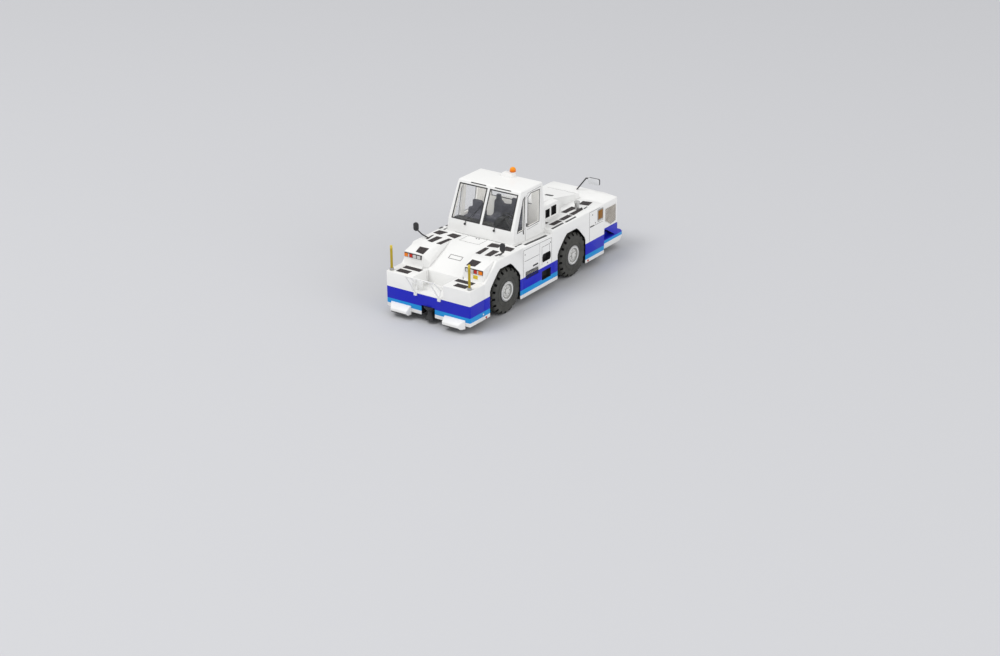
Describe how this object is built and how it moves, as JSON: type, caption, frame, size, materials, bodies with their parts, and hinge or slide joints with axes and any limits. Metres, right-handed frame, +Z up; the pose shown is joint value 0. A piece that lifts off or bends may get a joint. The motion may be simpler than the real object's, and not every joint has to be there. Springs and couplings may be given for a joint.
{
  "type": "scale model of an airport tow tractor",
  "caption": "Small display model of a low, heavy airport towing tractor: white body with blue stripes, raised glazed cab, sloping engine hood, free rolling wheels on two axles.",
  "frame": {"origin": "centre of the bounding box's base, on the ground plane", "axes": "+X to the tractor's left, +Y rearwards, +Z up; the front faces -Y"},
  "size_m": [0.024, 0.0661, 0.0267],
  "materials": {
    "body_paint": "gloss white, with stripes in white, light blue and deep blue along the lower sides",
    "black_plastic": "satin black moulded plastic",
    "cab_interior": "matt dark grey-blue",
    "glazing": "clear glazing",
    "clear_lens": "clear lens",
    "amber_lens": "orange translucent plastic",
    "red_lens": "red translucent plastic",
    "pole_paint": "olive yellow",
    "grey_plastic": "light grey",
    "grille": "beige-grey mesh",
    "hub_plastic": "light grey",
    "tyre": "matt dark grey",
    "axle_steel": "plain steel"
  },
  "bodies": {
    "body": {"chassis": "black_plastic", "front_bumper": "body_paint", "front_deck": "body_paint", "wing_front_left": "body_paint", "wing_front_right": "body_paint", "side_box_left": "body_paint", "side_box_right": "body_paint", "wing_rear_left": "body_paint", "wing_rear_right": "body_paint", "rear_deck": "body_paint", "engine_hood": "body_paint", "air_intake": "body_paint", "rear_body": "body_paint", "rear_bumper": "body_paint", "rear_grilles": "grille", "front_coupling": "black_plastic", "rear_coupling": "black_plastic", "bumper_shoes": "body_paint", "hoop_guard": "body_paint", "recess_plate": "body_paint", "marker_poles": "pole_paint", "pole_sockets": "grey_plastic", "lamp_bars": "black_plastic", "amber_lenses": "amber_lens", "red_lenses": "red_lens", "clear_lenses": "clear_lens", "cab_front": "body_paint", "cab_side_left": "body_paint", "cab_side_right": "body_paint", "cab_rear": "body_paint", "cab_roof": "body_paint", "windscreen": "glazing", "side_glass": "glazing", "rear_glass": "glazing", "cab_floor": "cab_interior", "dashboard": "cab_interior", "steering_wheel": "cab_interior", "seats": "cab_interior", "beacon_base": "body_paint", "beacon_lens": "amber_lens", "deck_mirrors": "black_plastic", "rear_mirror": "black_plastic", "filler_neck": "axle_steel"},
    "front_wheels": {"front_axle": "axle_steel", "hub_front_left": "hub_plastic", "hub_front_right": "hub_plastic", "tyre_front_left": "tyre", "tyre_front_right": "tyre"},
    "rear_wheels": {"rear_axle": "axle_steel", "hub_rear_left": "hub_plastic", "hub_rear_right": "hub_plastic", "tyre_rear_left": "tyre", "tyre_rear_right": "tyre"}
  },
  "joints": [
    {"name": "front_axle_spin", "type": "hinge", "parent": "body", "child": "front_wheels", "pos_m": [0, -0.01535, 0.0051], "axis": [1, 0, 0], "continuous": true},
    {"name": "rear_axle_spin", "type": "hinge", "parent": "body", "child": "rear_wheels", "pos_m": [0, 0.0104, 0.0051], "axis": [1, 0, 0], "continuous": true}
  ]
}
